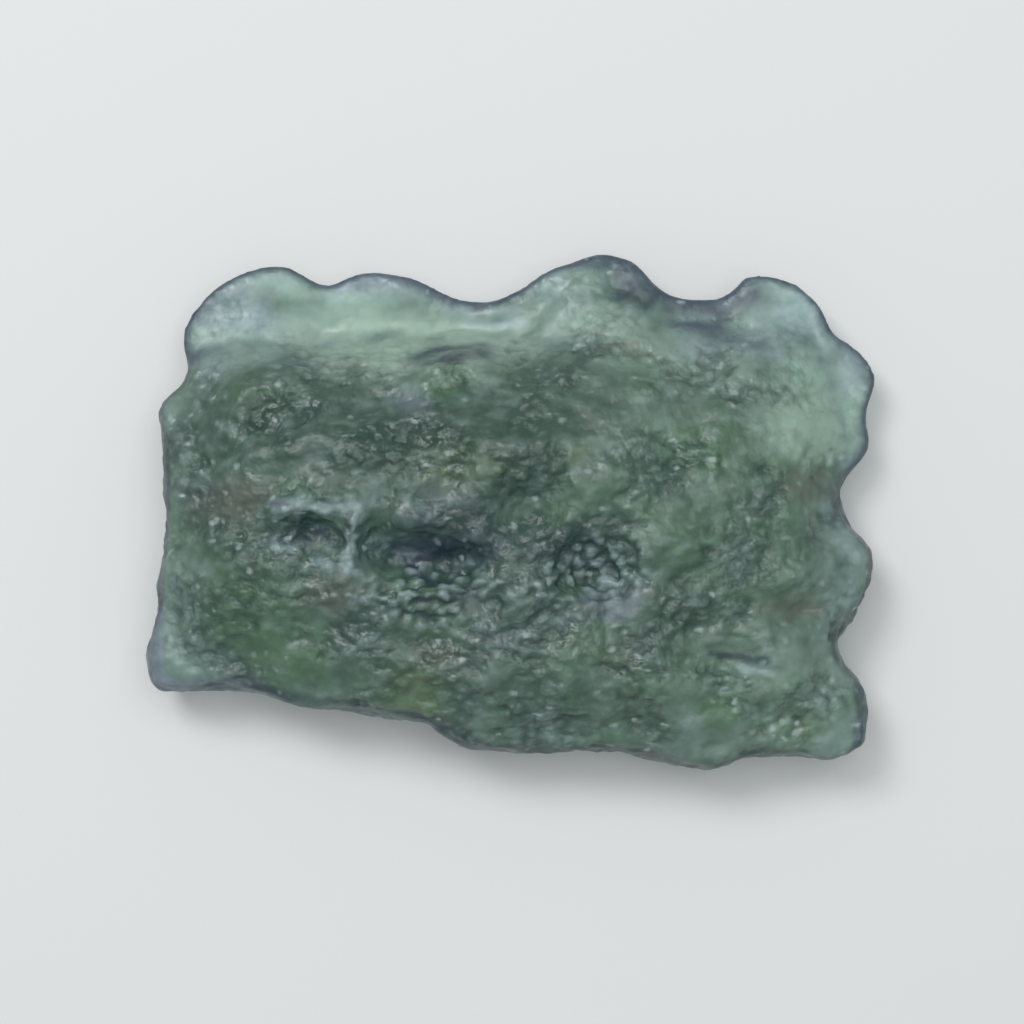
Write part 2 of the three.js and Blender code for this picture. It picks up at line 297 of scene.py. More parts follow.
# %% [markdown]
# Some things happen only in one place on the stone: a crumbly bank, a patch of olive, a pale seam. Each is
# described by one of two small groups of nodes. A patch is a soft-edged oval, seen from above, and a seam
# is a soft line between two points. A painted mask would do the same, but its places couldn't be read.

# %% Build a patch
PATCH_FULL = 0.35  # a patch has its full strength out to this many half sizes from its middle
PATCH_ENDS = 1.25


def local_mark(name, sockets):
    tree = bpy.data.node_groups.new(name, "GeometryNodeTree")
    for label, kind in sockets.items():
        tree.interface.new_socket(label, in_out="INPUT", socket_type="NodeSocket" + kind)
    tree.interface.new_socket("Share", in_out="OUTPUT", socket_type="NodeSocketFloat")
    return tree, place(tree, "NodeGroupInput").outputs


patch, asked = local_mark(
    "tint patch", {"Spot": "Vector", "Middle": "Vector", "Half Size": "Vector", "Strength": "Float"}
)
apart = vector(patch, "SUBTRACT", asked["Spot"], asked["Middle"])
half_sizes = length(patch, vector(patch, "DIVIDE", apart, asked["Half Size"]))
share = times(patch, ramp(patch, half_sizes, PATCH_ENDS, PATCH_FULL), asked["Strength"])
place(patch, "NodeGroupOutput", {"Share": share})
print_nodes(patch)


def patch_share(tree, spot, middle, half, strength):
    inputs = {"Spot": spot, "Middle": (*middle, 0.0), "Half Size": (*half, 1.0), "Strength": strength}
    return place(tree, "GeometryNodeGroup", inputs, node_tree=patch).outputs["Share"]


# %% Build a seam
SEAM_FULL = 0.4  # a seam has its full strength out to this many half widths from its line
SEAM_ENDS = 1.3

seam, asked = local_mark(
    "tint seam",
    {"Spot": "Vector", "From": "Vector", "To": "Vector", "Half Width": "Float", "Strength": "Float"},
)
along = vector(seam, "SUBTRACT", asked["To"], asked["From"])
out = vector(seam, "SUBTRACT", asked["Spot"], asked["From"])
step = number(seam, "DIVIDE", dot(seam, out, along), dot(seam, along, along), use_clamp=True)
away = length(seam, vector(seam, "SUBTRACT", out, scaled(seam, along, step)))
half_widths = number(seam, "DIVIDE", away, asked["Half Width"])
share = times(seam, ramp(seam, half_widths, SEAM_ENDS, SEAM_FULL), asked["Strength"])
place(seam, "NodeGroupOutput", {"Share": share})
print_nodes(seam)


def seam_share(tree, spot, start, end, half, strength):
    inputs = {"Spot": spot, "From": (*start, 0.0), "To": (*end, 0.0)}
    inputs["Half Width"] = half
    inputs["Strength"] = strength
    return place(tree, "GeometryNodeGroup", inputs, node_tree=seam).outputs["Share"]


# %% [markdown]
# Glass looks pale where it is thin and dark where it is thick, and the thin lip was also etched less. So
# the tree first measures the glass: from each point a ray goes down through the stone, and the distance
# to the far side is the thickness. A light box would show the same thing on the real stone.

# %% Measure the thickness
SKIN_DEEP = 0.05  # the ray starts this far inside, mm
UPRIGHT = 4.0  # the ray leans this much more to the vertical than the skin's own direction
LONGEST = 20.0  # mm, more than the stone's thickness
THICKEST = 6.0  # mm, what a ray counts that runs level through the stone from a side wall
THICKNESS_PASSES = 40

steep = vector(dressing, "MULTIPLY", inwards, (1.0, 1.0, UPRIGHT))
ray = place(
    dressing,
    "GeometryNodeRaycast",
    {
        "Target Geometry": given["Geometry"],
        "Source Position": vector(dressing, "ADD", position, scaled(dressing, inwards, SKIN_DEEP)),
        "Ray Direction": vector(dressing, "NORMALIZE", steep),
        "Ray Length": LONGEST,
    },
)
missed = minus(dressing, 1.0, ray.outputs["Is Hit"])
through = plus(dressing, ray.outputs["Hit Distance"], times(dressing, missed, LONGEST))
through = number(dressing, "MINIMUM", through, THICKEST)
evened_through = evened(dressing, through, THICKNESS_PASSES)
stone, thickness = noted(dressing, given["Geometry"], "thickness", evened_through)
print_nodes(dressing)

# %% [markdown]
# The edge is dressed in its own way, so it is marked next. A wall is where the skin stands upright, and
# near_edge takes in the strip of face beside it too. The rim is where the glass runs out to a thin lip and
# turns away from the eye. Painting these marks by hand would be quick, but a rule finds them on any stone.

# %% Find the walls and the rim
# Each pair of numbers says where a mark starts and where it is full.
WALL_LEVEL = (0.7, 0.2)  # 1 is a level face, and 0 is an upright wall
EDGE_LEVEL = (0.7, 0.3)
RIM_TILT = (0.05, 0.35)
RIM_THICKNESS = (2.2, 1.1)  # mm
WALL_PASSES = 6
EDGE_PASSES = 12
RIM_PASSES = 2
INSIDE_PASSES = 14

level = number(dressing, "ABSOLUTE", upright_part(dressing, normal))
wall = ramp(dressing, evened(dressing, level, WALL_PASSES), *WALL_LEVEL)
near_edge = evened(dressing, ramp(dressing, level, *EDGE_LEVEL), EDGE_PASSES)
turned_away = ramp(dressing, minus(dressing, 1.0, level), *RIM_TILT)
runs_out = ramp(dressing, through, *RIM_THICKNESS)
rim = evened(dressing, times(dressing, runs_out, turned_away), RIM_PASSES)
stone, rim = noted(dressing, stone, "rim", rim)
inside_the_rim = evened(dressing, rim, INSIDE_PASSES)
print_nodes(dressing)

# %% [markdown]
# Etching leaves cups that meet in sharp ridges, which is just what a Voronoi texture describes: the
# distance to the nearest of many scattered points. Noise alone has no ridges, and a picture would have
# to be drawn first. Slow noise bends the pattern and it is drawn out a little along the flow of the
# glass, so that no rows show.

# %% Bend the pattern along the flow
ELSEWHERE = (7.0, 3.0, 1.0)  # reads a pattern a few millimetres away, so that two of them don't line up

stretch = place(dressing, "ShaderNodeCombineXYZ", {"X": given["Flow Stretch"], "Y": 1.0, "Z": 1.0})
flow = vector(dressing, "DIVIDE", position, stretch.outputs[0])
warp = scaled(dressing, drift(dressing, flow, size=2.4), given["Warp"])
flow = vector(dressing, "ADD", flow, warp)
flow_elsewhere = vector(dressing, "ADD", flow, ELSEWHERE)
print_nodes(dressing)

# %% [markdown]
# Three kinds of hollows are pressed in. Cups and small pits lie on the faces, in some places deep and in
# others faint. The thick side walls have wide cups. Their middles go in as far as the ridges between them
# come out, so that the outline keeps its size.

# %% Press cups and pits
TO_THE_RIDGE = 1.45  # brings a Voronoi cell's border to about 1
THICK_WALL = (3.0, 4.5)  # a wall has no cups below the first thickness, and all of them from the second, mm


def cups(tree, where, size):
    """1 at the bottom of each cup and 0 on the ridges between cups."""
    inputs = {"Vector": where, "Scale": number(tree, "DIVIDE", 1.0, size)}
    away = times(tree, place(tree, "ShaderNodeTexVoronoi", inputs).outputs["Distance"], TO_THE_RIDGE)
    return number(tree, "SUBTRACT", 1.0, times(tree, away, away), use_clamp=True)


cupped = ramp(dressing, clouds(dressing, flow, size=3.0), 0.35, 0.65, low=0.35)
cup = times(dressing, cups(dressing, flow, given["Cup Size"]), given["Cup Depth"], cupped)
wall_cup = minus(dressing, cups(dressing, flow_elsewhere, given["Wall Cup Size"]), 0.5)
thick_wall = times(dressing, wall, ramp(dressing, thickness, *THICK_WALL))
wall_cup = times(dressing, wall_cup, given["Wall Cup Depth"], thick_wall)
pitted = ramp(dressing, clouds(dressing, flow_elsewhere, size=2.2, detail=3.0), 0.4, 0.6, low=0.25)
pit = times(dressing, cups(dressing, flow, given["Pit Size"]), given["Pit Depth"], pitted)
print_nodes(dressing)

# %% [markdown]
# Below the long hollow, and right of it, the skin is a bank of loose-looking crumbs. A crumb is a cup
# turned inside out: high in its middle, with a gap around it. Low ones lie where the skin is pitted, and
# the two banks have deep ones. Noise carries the edges of the banks about and pushes the crumbs out of
# line, because even rows and round banks would look made.

# %% Pile up crumbs
CRUMB_BANKS = [
    # middle, half size in mm
    ((-3.3, -3.6), (3.6, 1.6)),
    ((3.6, -2.5), (2.8, 1.6)),
]
BANK_WANDER = 3.5  # how far noise carries the edges of the banks, mm from end to end
CRUMB_WANDER = 0.35

strewn = vector(dressing, "MULTIPLY", drift(dressing, position, size=1.3), (BANK_WANDER, BANK_WANDER, 0.0))
spot = vector(dressing, "ADD", seen_from_above, strewn)
bank = 0.0
for middle, half in CRUMB_BANKS:
    bank = number(dressing, "MAXIMUM", patch_share(dressing, spot, middle, half, 1.0), bank)
pushed = scaled(dressing, drift(dressing, position, size=0.5), CRUMB_WANDER)
ragged = vector(dressing, "ADD", flow_elsewhere, pushed)
crumb = cups(dressing, ragged, given["Crumb Size"])
deeper = ramp(dressing, bank, 0.0, 1.0, low=0.7, high=1.3)
crumbled = number(dressing, "MAXIMUM", pitted, bank)
gap = times(dressing, minus(dressing, 1.0, crumb), given["Crumb Depth"], deeper, crumbled)
print("banks of crumbs:", len(CRUMB_BANKS))

# %% [markdown]
# Over everything lies a frosting, which is plain noise. The depths of all the hollows are then added up,
# and the whole skin is lifted by a share of them. Without that the etching would only take glass away, and
# the stone would come out thinner than it was measured.

# %% Add up the etching
RIDGE_LIFT = 0.42  # share of the depths that the ridges are lifted

per_mm = number(dressing, "DIVIDE", 1.0, given["Frosting Size"])
inputs = {"Vector": flow, "Scale": per_mm, "Detail": 3.0, "Roughness": 0.6}
noise = place(dressing, "ShaderNodeTexNoise", inputs).outputs[0]
frosting = times(dressing, noise, given["Frosting Depth"])
lift = times(dressing, plus(dressing, given["Cup Depth"], given["Crumb Depth"]), RIDGE_LIFT)
depth = minus(dressing, plus(dressing, cup, pit, gap, frosting), lift)
print_nodes(dressing)

# %% [markdown]
# The etching fades on the thin lip and on the steep edge, but the wide cups of the walls keep their depth.
# All of it stops at the worn spots that the stone lies on: there the ground has rubbed it smooth.

# %% Let the etching fade
WALL_TO_FACE = (0.1, 0.7)  # the etching grows to its full depth between these levels
UNTOUCHED = 0.02  # nothing is etched below this height, mm


def rise(tree, value, start, end, low=0.0):
    """A straight rise: low before start, 1 after end."""
    inputs = {"Value": value, "From Min": start, "From Max": end, "To Min": low}
    return place(tree, "ShaderNodeMapRange", inputs).outputs["Result"]


on_lip = rise(dressing, thickness, given["Thin Lip"], given["Thick Middle"], given["Lip Share"])
on_wall = rise(dressing, level, *WALL_TO_FACE, given["Wall Share"])
unworn = rise(dressing, upright_part(dressing, position), UNTOUCHED, given["Worn Height"])
etching = plus(dressing, times(dressing, depth, on_lip, on_wall), wall_cup)
stone, etching = noted(dressing, stone, "etching", times(dressing, etching, unworn))
print_nodes(dressing)

# %% [markdown]
# The glass is bottle green, but no two parts of it are quite alike: olive and brown where it is streaked,
# mint where it is thin. Some tints are painted light rather than glass colour: slate is painted shade,
# ice is a painted highlight, and frost is pale glass in some places and a painted highlight in others.
# A picture of the stone would carry all its light and shadow along with its colour.

# %% List the tints
THIN_GLASS = (0.58, 0.76, 0.71, 1.0)
THICK_GLASS = (0.25, 0.38, 0.30, 1.0)
TINTS = {
    "dark": (0.08, 0.15, 0.12, 1.0),
    "forest": (0.09, 0.19, 0.14, 1.0),
    "leaf": (0.21, 0.42, 0.21, 1.0),
    "olive": (0.32, 0.45, 0.22, 1.0),
    # slate: painted shade, for hollows, notches and creases in shadow, crumb gaps and the edge
    "slate_shade": (0.05, 0.08, 0.15, 1.0),
    "haze": (0.46, 0.55, 0.62, 1.0),
    "lilac": (0.40, 0.46, 0.58, 1.0),
    "brown": (0.32, 0.33, 0.27, 1.0),
    "mint": (0.78, 1.00, 0.84, 1.0),
    # frost: pale glass in the mottling, and a painted highlight on grain tops, ridges and the crest
    "frost_and_highlight": (0.70, 0.92, 0.88, 1.0),
    # ice: a painted highlight, on the lobes, the crest lines, the crumb tops and below a crease
    "ice_highlight": (0.76, 0.95, 1.00, 1.0),
}
print("tints:", len(TINTS))

# %% [markdown]
# Each patch and seam has a tint, a place and a size, so that any one of them can be moved or left out.
# They are laid in the order of the list, and a later one covers an earlier one.

# %% List the patches and seams
# The slate patches are painted shade in hollows and notches, and the ice ones painted highlights on the
# lobes.
PATCHES = [
    # tint, middle, half size in mm, strength
    ("forest", (-9.0, 3.6), (6.0, 2.8), 0.9),
    ("forest", (-1.5, 3.4), (6.5, 3.0), 0.85),
    ("forest", (-12.0, -0.4), (3.0, 1.6), 0.6),
    ("mint", (-4.8, 6.9), (4.4, 1.4), 1.0),
    ("mint", (13.2, 4.0), (2.8, 2.6), 1.0),
    ("haze", (-12.6, 9.0), (2.6, 1.8), 0.45),
    ("mint", (-11.2, 7.6), (2.6, 1.1), 0.5),
    ("mint", (-6.2, 7.6), (3.8, 1.8), 1.0),
    ("mint", (-1.8, 7.5), (3.2, 1.6), 1.0),
    ("mint", (3.6, 8.3), (2.6, 1.0), 0.6),
    ("mint", (8.0, 6.6), (4.2, 1.4), 0.45),
    ("mint", (10.5, -7.6), (5.5, 2.8), 0.3),
    ("mint", (5.5, 3.4), (1.6, 1.4), 0.25),
    ("frost_and_highlight", (14.6, -4.0), (1.0, 1.1), 0.45),
    ("lilac", (-12.4, 8.8), (2.2, 1.0), 0.3),
    ("ice_highlight", (-11.6, 8.3), (1.9, 0.8), 0.45),
    ("slate_shade", (-3.0, -0.6), (3.6, 2.0), 0.5),
    ("slate_shade", (-3.2, -1.6), (3.6, 1.1), 1.0),
    ("slate_shade", (-8.7, -1.0), (1.7, 0.9), 0.95),
    ("slate_shade", (2.9, -1.5), (2.0, 1.2), 0.8),
    ("slate_shade", (8.3, 9.4), (3.0, 1.2), 1.0),
    ("slate_shade", (5.3, 9.9), (1.1, 1.1), 0.85),
    ("slate_shade", (10.3, 9.7), (0.8, 0.8), 0.6),
    ("ice_highlight", (12.7, 8.7), (1.7, 1.2), 0.6),
    ("ice_highlight", (14.6, 5.6), (0.9, 1.0), 0.5),
    ("slate_shade", (14.2, 0.3), (0.8, 1.3), 0.6),
    ("lilac", (4.0, -3.9), (1.6, 0.9), 0.8),
    ("lilac", (-4.3, 4.9), (0.9, 1.2), 0.6),
    ("lilac", (9.5, 7.2), (2.6, 0.7), 0.6),
    ("lilac", (15.0, 7.0), (0.8, 1.2), 0.5),
    ("lilac", (-13.6, 1.0), (1.4, 1.0), 0.4),
    ("olive", (-2.3, 2.0), (2.4, 1.2), 0.55),
    ("olive", (2.7, 2.5), (1.1, 0.8), 0.55),
    ("olive", (-4.3, -7.8), (1.5, 1.4), 0.75),
    ("olive", (4.3, -6.1), (1.2, 0.6), 0.7),
    ("olive", (12.4, -9.2), (1.2, 0.8), 0.5),
    ("leaf", (8.9, -8.7), (1.2, 1.0), 0.8),
    ("leaf", (-11.6, -4.4), (2.8, 1.8), 0.55),
    ("leaf", (-9.6, -6.2), (2.0, 1.2), 0.5),
    ("leaf", (-3.2, 5.4), (1.9, 0.8), 0.7),
    ("leaf", (-11.2, 5.2), (1.6, 0.8), 0.5),
    ("leaf", (8.2, 3.0), (2.8, 1.8), 0.5),
    ("leaf", (7.4, -1.2), (1.8, 2.0), 0.4),
    ("leaf", (-3.4, -4.8), (1.4, 0.5), 0.4),
    ("brown", (-12.0, 0.4), (2.0, 1.1), 0.8),
    ("brown", (-7.8, -3.4), (1.5, 0.8), 0.7),
    ("brown", (12.3, -4.2), (1.5, 0.7), 0.85),
    ("brown", (-3.0, -6.1), (1.6, 0.6), 0.8),
    ("brown", (4.7, 7.1), (1.1, 0.5), 0.6),
    ("brown", (12.6, 1.2), (1.4, 0.9), 0.7),
]
SEAMS = [
    # tint, from, to, half width in mm, strength
    ("haze", (-10.0, 0.3), (-6.6, 0.1), 0.34, 1.0),
    ("haze", (-6.6, 0.1), (-7.1, -2.4), 0.32, 1.0),
    ("frost_and_highlight", (-9.4, 0.3), (-6.6, 0.1), 0.26, 0.9),
    ("frost_and_highlight", (-6.6, 0.1), (-7.1, -2.4), 0.24, 0.9),
    ("ice_highlight", (-11.0, -1.3), (-9.2, -1.5), 0.2, 0.7),
    ("ice_highlight", (-8.5, -2.1), (-6.5, -2.6), 0.2, 0.7),
    ("ice_highlight", (-1.9, 8.2), (0.4, 8.2), 0.2, 0.8),
    ("ice_highlight", (9.8, -6.7), (10.9, -7.0), 0.25, 0.6),
    ("lilac", (-7.6, 10.0), (-4.9, 10.3), 0.5, 0.7),
    ("lilac", (-4.9, 10.3), (-1.6, 9.1), 0.5, 0.7),
    ("slate_shade", (3.0, 11.0), (5.0, 10.7), 0.45, 0.7),
    ("slate_shade", (8.5, -6.1), (10.9, -6.4), 0.2, 0.7),
    ("lilac", (-15.6, -4.4), (-15.5, -7.4), 0.5, 0.8),
    ("lilac", (-15.4, -7.6), (-11.2, -7.6), 0.5, 0.8),
    ("slate_shade", (-11.2, -7.8), (-8.0, -8.4), 0.4, 0.6),
    ("slate_shade", (-3.0, -9.6), (-1.0, -10.4), 0.4, 0.6),
    ("slate_shade", (15.2, -7.8), (15.1, -10.3), 0.4, 0.7),
]
print("patches:", len(PATCHES), "seams:", len(SEAMS))

# %% [markdown]
# The colour of the glass starts from its thickness. Noise is added to the thickness first, so that the
# pale lip has no straight border, and then green and blue clouds lie over it.

# %% Tint by thickness
PALE_BELOW = 1.2  # thickness of the palest glass, mm
DARK_ABOVE = 5.2
STRAY = 4.0  # how much noise adds to the thickness, mm from end to end

stray = minus(dressing, clouds(dressing, position, size=1.5, detail=4.0, roughness=0.6), 0.5)
strayed = plus(dressing, thickness, times(dressing, stray, STRAY))
tint = blend(dressing, ramp(dressing, strayed, PALE_BELOW, DARK_ABOVE), THIN_GLASS, THICK_GLASS)
green_clouds = ramp(dressing, clouds(dressing, position, size=2.6, detail=3.0), 0.42, 0.62, high=0.45)
tint = blend(dressing, green_clouds, tint, TINTS["leaf"])
blue_noise = clouds(dressing, flow_elsewhere, size=2.2, detail=3.0)
blue_clouds = ramp(dressing, blue_noise, 0.5, 0.68, high=0.35)
tint = blend(dressing, blue_clouds, tint, TINTS["lilac"])
print_nodes(dressing)

# %% [markdown]
# The patches of the list come next. Noise carries their edges about, so that no oval shows. The tree keeps
# in mind where the mint ones lie, because the glass is clear there and will have less grit.

# %% Lay the patches
PATCH_WANDER = 2.0  # how far noise carries the edges of the patches, mm from end to end

swirl = drift(dressing, position, size=1.1, detail=4.0, roughness=0.6)
wander = vector(dressing, "MULTIPLY", swirl, (1.0, 1.0, 0.0))
spot = vector(dressing, "ADD", seen_from_above, scaled(dressing, wander, PATCH_WANDER))
clear = 0.0
for name, middle, half, strength in PATCHES:
    share = patch_share(dressing, spot, middle, half, strength)
    tint = blend(dressing, share, tint, TINTS[name])
    if name == "mint":
        clear = number(dressing, "MAXIMUM", share, clear)
print_nodes(dressing)

# %% [markdown]
# A mottling of pale and dark spots about a millimetre wide breaks the patches up. On the two crumbly
# banks each crumb gets a painted highlight of pale ice on top, and painted shade, almost black, in the
# gaps around it.

# %% Mottle, and paint highlights and shade on the crumbs
mottle = clouds(dressing, flow_elsewhere, size=0.9, detail=3.0)
tint = blend(dressing, ramp(dressing, mottle, 0.5, 0.7, high=0.32), tint, TINTS["frost_and_highlight"])
tint = blend(dressing, ramp(dressing, mottle, 0.5, 0.3, high=0.35), tint, TINTS["dark"])
# painted highlight on each crumb's top, and painted shade in the gaps around it
highlighted_tops = times(dressing, ramp(dressing, crumb, 0.45, 0.95, high=0.9), bank)
tint = blend(dressing, highlighted_tops, tint, TINTS["ice_highlight"])
shadows = times(dressing, ramp(dressing, crumb, 0.4, 0.0, high=0.7), bank)
tint = blend(dressing, shadows, tint, TINTS["slate_shade"])
print_nodes(dressing)

# %% [markdown]
# The seams come last, because they are the thinnest marks. The haze and frost ones draw a pale crest,
# pale from thin glass and from a painted highlight. The ice ones are painted glints, the lilac ones along
# the edge are a painted reflection of the sky, and the slate ones are painted shade in creases and along
# the lower edge. The frost ones are as clear as the mint patches. Then a pale blue-grey is painted just
# inside the rim as a painted reflection, and slate along the edge, where the skin turns down and loses
# the light: painted shade.

# %% Draw the seams and shade the edge
SEAM_WANDER = 0.6  # mm from end to end
EDGE_SHADE = (0.12, 0.6)  # share of near_edge where the slate starts, and where it is full

spot = vector(dressing, "ADD", seen_from_above, scaled(dressing, wander, SEAM_WANDER))
for name, start, end, half, strength in SEAMS:
    share = seam_share(dressing, spot, start, end, half, strength)
    tint = blend(dressing, share, tint, TINTS[name])
    if name == "frost_and_highlight":
        clear = number(dressing, "MAXIMUM", share, clear)
# a painted reflection: pale blue-grey just inside the rim
tint = blend(dressing, ramp(dressing, inside_the_rim, 0.0, 0.5, high=0.45), tint, TINTS["haze"])
uneven = ramp(dressing, mottle, 0.65, 0.35, low=0.5)
shaded_edge = times(dressing, ramp(dressing, near_edge, *EDGE_SHADE, high=0.85), uneven)
tint = blend(dressing, shaded_edge, tint, TINTS["slate_shade"])
stone, tint = noted(dressing, stone, "tint", tint, "FLOAT_COLOR")
print_nodes(dressing)

# %% [markdown]
# Two more notes are for the material. Grit says how grainy the skin is: little on the lip, on the walls
# and where the glass is clear, much where it is pitted, and a crust of grains lies along the rim. Bend is
# slow noise that keeps the grains from lining up. Both are slow enough for the net's points to hold, and
# the render is quicker for it.

# %% Note the grit
GRITTY_GLASS = (1.6, 3.0)  # the grit grows to its full share between these thicknesses, mm

in_thick_glass = ramp(dressing, thickness, *GRITTY_GLASS, low=0.55)
off_clear_glass = ramp(dressing, clear, 0.3, 1.0, low=1.0, high=0.55)
where_pitted = ramp(dressing, pitted, 0.25, 1.0, low=0.45, high=1.25)
off_the_wall = ramp(dressing, wall, 0.0, 1.0, low=1.0, high=0.6)
grit = times(dressing, in_thick_glass, off_clear_glass, where_pitted, off_the_wall)
rim_crust = ramp(dressing, inside_the_rim, 0.0, 0.35, high=0.9)
grit = number(dressing, "MAXIMUM", grit, rim_crust)
stone, grit = noted(dressing, stone, "grit", grit)
stone, bend = noted(dressing, stone, "bend", drift(dressing, position, size=0.7), "FLOAT_VECTOR")
print_nodes(dressing)

# %% [markdown]
# The last step moves the points inwards by the etching. It holds back any that would sink below the
# table that the stone lies on, and gives the finished mesh its material.

# %% Close the tree
TABLE_GAP = 0.02  # a hair of air under the worn spots, mm

inputs = {"Geometry": stone, "Offset": scaled(dressing, inwards, etching)}
moved = place(dressing, "GeometryNodeSetPosition", inputs).outputs[0]
held = vector(dressing, "MAXIMUM", position, (-LONGEST, -LONGEST, TABLE_GAP))
rested = place(dressing, "GeometryNodeSetPosition", {"Geometry": moved, "Position": held}).outputs[0]
smooth = place(dressing, "GeometryNodeSetShadeSmooth", {"Geometry": rested}).outputs[0]
plain = place(dressing, "GeometryNodeRealizeInstances", {"Geometry": smooth}).outputs[0]
inputs = {"Geometry": plain, "Material": given["Glass"]}
finished = place(dressing, "GeometryNodeSetMaterial", inputs).outputs[0]
place(dressing, "NodeGroupOutput", {"Geometry": finished})
print("dressing tree:", len(dressing.nodes), "nodes")

# %% [markdown]
# Moldavite is clear glass with a frosted, gritty skin. So the material is glass, with a share of plain
# diffuse colour for the frosting, and the body of it swallows a little light on the way through. The
# material starts from what the tree has noted on the skin.

# %% Start the glass
glass = bpy.data.materials.new("moldavite glass")
glass.use_nodes = True
tree = glass.node_tree
tree.nodes.clear()


def note(name, output="Fac"):
    return place(tree, "ShaderNodeAttribute", attribute_name=name).outputs[output]


colour = note("tint", "Color")
etching = note("etching")
grit = note("grit")
bend = note("bend", "Vector")
metres = place(tree, "ShaderNodeTexCoord").outputs["Object"]
spot = scaled(tree, metres, 1 / MM)
print("glass starts with", len(tree.nodes), "nodes")

# %% [markdown]
# What is finer than the net is drawn here. The skin is a crust of grains, with a painted highlight on each
# top and painted shade in the gaps between them, and the odd grain is a bright speck: partly a bubble in
# the glass, partly a painted glint. They are one Voronoi texture: its distance shapes the grains, and its
# colour is a random draw that picks the specks. Modelling them would need millions of faces.

# %% Colour the grains
GRAIN = 0.4  # width of a grain, mm
GRAIN_BEND = 0.7  # mm from end to end
GRAIN_STRETCH = (0.75, 1.0, 1.0)  # a grain is a third longer along the stone
SPECKS = 0.9  # of the grains, those above this draw are bright specks
SPECK_COLOUR = (0.86, 0.97, 0.97, 1.0)

bent = vector(tree, "MULTIPLY", vector(tree, "ADD", spot, scaled(tree, bend, GRAIN_BEND)), GRAIN_STRETCH)
grains = place(tree, "ShaderNodeTexVoronoi", {"Vector": bent, "Scale": 1 / GRAIN})
away = grains.outputs["Distance"]
# painted shade in the gaps between the grains
shaded_gaps = times(tree, ramp(tree, away, 0.35, 0.95, high=0.5), grit)
colour = blend(tree, shaded_gaps, colour, TINTS["dark"])
# painted highlight on each grain's top
highlighted_tops = times(tree, ramp(tree, away, 0.4, 0.05, high=0.3), grit)
colour = blend(tree, highlighted_tops, colour, TINTS["frost_and_highlight"])
# specks: partly bubbles in the glass, partly painted glints
draw = place(tree, "ShaderNodeSeparateColor", {0: grains.outputs["Color"]}).outputs[0]
chosen = number(tree, "GREATER_THAN", draw, SPECKS)
speck = times(tree, ramp(tree, away, 0.5, 0.05), chosen, grit)
print("grains, mm:", GRAIN)

# %% [markdown]
# The etched hollows get painted shade and the ridges a painted highlight, both by the depth of the
# etching. Around the outline the glass turns away, and a slate line of painted shade is drawn along the
# rim.

# %% Paint shade in the hollows and on the rim, and highlights on the ridges
HOLLOWS = (0.0, 0.18)  # the dark starts and is full at these depths, mm
RIDGES = (-0.02, -0.14)  # the pale starts and is full at these depths, mm
RIM_SHADE_COLOUR = (0.09, 0.13, 0.22, 1.0)
RIM_SHARE = 0.9

# painted shade in the etched hollows
shaded_hollows = times(tree, ramp(tree, etching, *HOLLOWS, high=0.5), grit)
colour = blend(tree, shaded_hollows, colour, TINTS["dark"])
# painted highlight on the etched ridges
colour = blend(tree, ramp(tree, etching, *RIDGES, high=0.3), colour, TINTS["frost_and_highlight"])
# painted shade: a slate line along the rim
colour = blend(tree, times(tree, note("rim"), RIM_SHARE), colour, RIM_SHADE_COLOUR)
colour = blend(tree, speck, colour, SPECK_COLOUR)
print("colour of the glass:", len(tree.nodes), "nodes")

# %% [markdown]
# Last come the plain numbers of glass. A fine bump makes the glints small and round. Most of the light
# passes through, and the absorption in the volume makes thick glass darker than thin.

# %% Mix the glass
BUMP_SIZE = 0.34  # mm
BUMP_HEIGHT = 0.16 * MM
BUMP_STRENGTH = 0.6
POLISHED = 0.32  # roughness where the slow noise is low
FROSTED = 0.5  # roughness where it is high
SWING = 0.15  # the slow noise mostly stays this close to zero
GLASS_IOR = 1.5
SEE_THROUGH = 0.7  # share of the light that passes, the rest being the frosting's
BODY_COLOUR = (0.40, 0.62, 0.52, 1.0)
ABSORPTION = 90.0  # per metre

lumps = clouds(tree, spot, BUMP_SIZE, detail=1.0)
inputs = {"Strength": times(tree, grit, BUMP_STRENGTH), "Distance": BUMP_HEIGHT, "Height": lumps}
bump = place(tree, "ShaderNodeBump", inputs).outputs["Normal"]
slow = place(tree, "ShaderNodeSeparateXYZ", {0: bend}).outputs["X"]
roughness = ramp(tree, slow, -SWING, SWING, POLISHED, FROSTED)
inputs = {"Base Color": colour, "Roughness": roughness, "Normal": bump}
inputs["IOR"] = GLASS_IOR
inputs["Transmission Weight"] = SEE_THROUGH
surface = place(tree, "ShaderNodeBsdfPrincipled", inputs).outputs[0]
inputs = {"Color": BODY_COLOUR, "Density": ABSORPTION}
body = place(tree, "ShaderNodeVolumeAbsorption", inputs).outputs[0]
place(tree, "ShaderNodeOutputMaterial", {"Surface": surface, "Volume": body})
print("glass:", len(tree.nodes), "nodes")

# %% [markdown]
# Now the tree runs on the skin, with its sizes set, and its result becomes the stone's own mesh. The mesh
# goes back to metres, so that the stone lies exactly where the measured solid lies.

# %% Dress the skin
dresser = skin.modifiers.new("dressing", "NODES")
dresser.node_group = dressing
settings = {**SIZES, "Glass": glass}
for item in dressing.interface.items_tree:
    if item.name in settings:
        dresser[item.identifier] = settings[item.name]
apply_modifiers(skin)
skin.data.transform(Matrix.Scale(MM, 4))
triangles = sum(len(face.vertices) - 2 for face in skin.data.polygons)
print("stone:", triangles, "triangles of", [material.name for material in skin.data.materials])

# %% [markdown]
# The stone lies on plain pale paper, as in a studio. Its light comes from a large window up and to the
# left, where the photograph's shadows say it is, and from a wide soft sky over it.

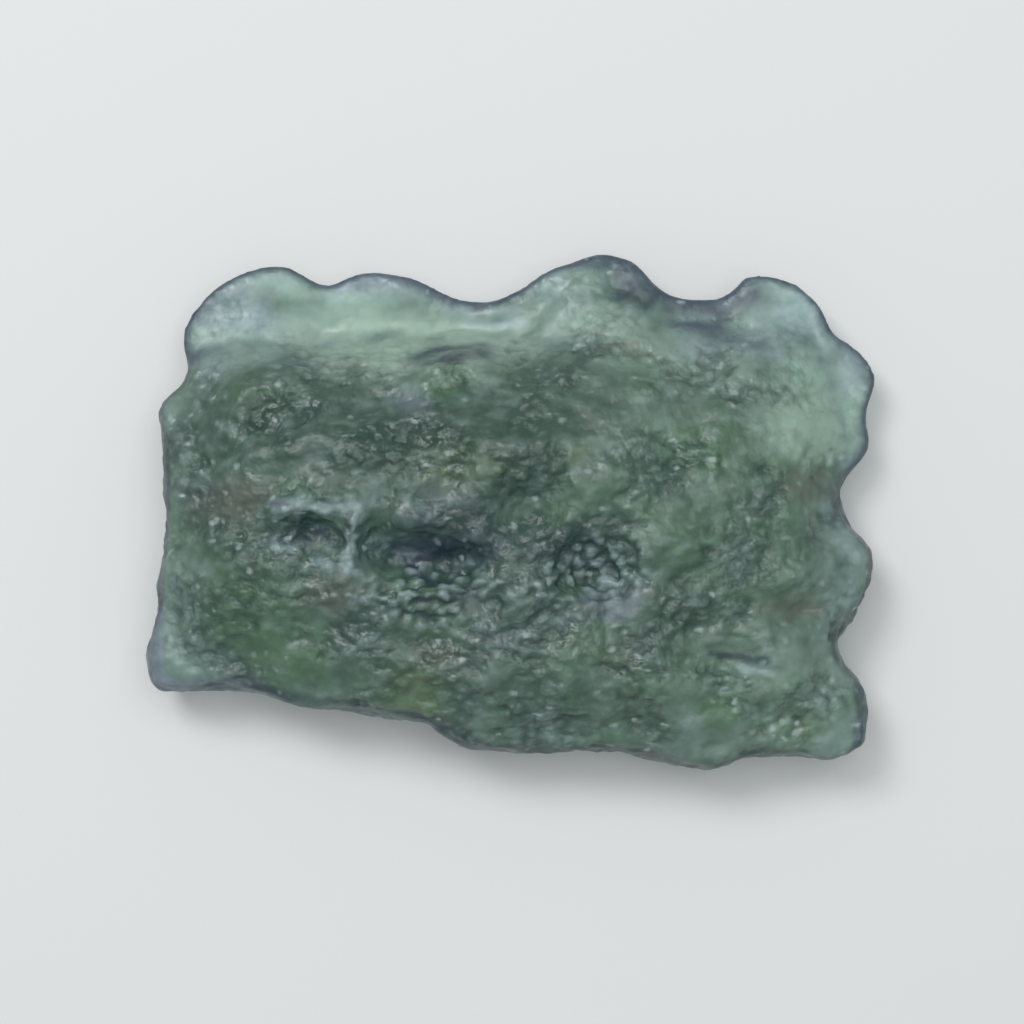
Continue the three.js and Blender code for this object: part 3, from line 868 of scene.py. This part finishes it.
# %% Lay the floor
HALF_FLOOR = 0.3  # metres

floor_mesh = bpy.data.meshes.new("floor")
corners = [(-HALF_FLOOR, -HALF_FLOOR, 0), (HALF_FLOOR, -HALF_FLOOR, 0)]
corners += [(HALF_FLOOR, HALF_FLOOR, 0), (-HALF_FLOOR, HALF_FLOOR, 0)]
floor_mesh.from_pydata(corners, [], [(0, 1, 2, 3)])
floor = bpy.data.objects.new("floor", floor_mesh)
bpy.context.scene.collection.objects.link(floor)
paper = bpy.data.materials.new("paper")
paper.use_nodes = True
shader = paper.node_tree.nodes["Principled BSDF"]
shader.inputs["Base Color"].default_value = (0.78, 0.77, 0.75, 1.0)
shader.inputs["Roughness"].default_value = 0.9
floor_mesh.materials.append(paper)
print("floor, m:", 2 * HALF_FLOOR)

# %% Hang the lamps
LAMPS = [
    # name, place and width in mm, watts, colour
    ("window", (-120, 140, 270), 110, 0.41, (0.97, 0.99, 1.0)),
    ("sky", (20, 60, 300), 260, 0.42, (0.93, 0.97, 1.0)),
]
for name, at, width, watts, lamp_colour in LAMPS:
    light = bpy.data.lights.new(name, "AREA")
    light.size = width * MM
    light.energy = watts
    light.color = lamp_colour
    lamp = bpy.data.objects.new(name, light)
    lamp.location = Vector(at) * MM
    lamp.rotation_euler = (-lamp.location).to_track_quat("-Z", "Y").to_euler()
    bpy.context.scene.collection.objects.link(lamp)
    print(name, "hangs", round(lamp.location.length / MM), "mm away")

# %% Fill the room with soft light
SOFT_LIGHT = 0.35

room = bpy.data.worlds.new("room")
room.use_nodes = True
air = room.node_tree.nodes["Background"]
air.inputs["Color"].default_value = (0.9, 0.95, 1.0, 1.0)
air.inputs["Strength"].default_value = SOFT_LIGHT
bpy.context.scene.world = room
bpy.context.scene.view_settings.view_transform = "Standard"
print("soft light:", SOFT_LIGHT)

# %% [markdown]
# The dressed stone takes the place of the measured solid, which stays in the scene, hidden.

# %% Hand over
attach(skin, "root")
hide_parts("moldavite")
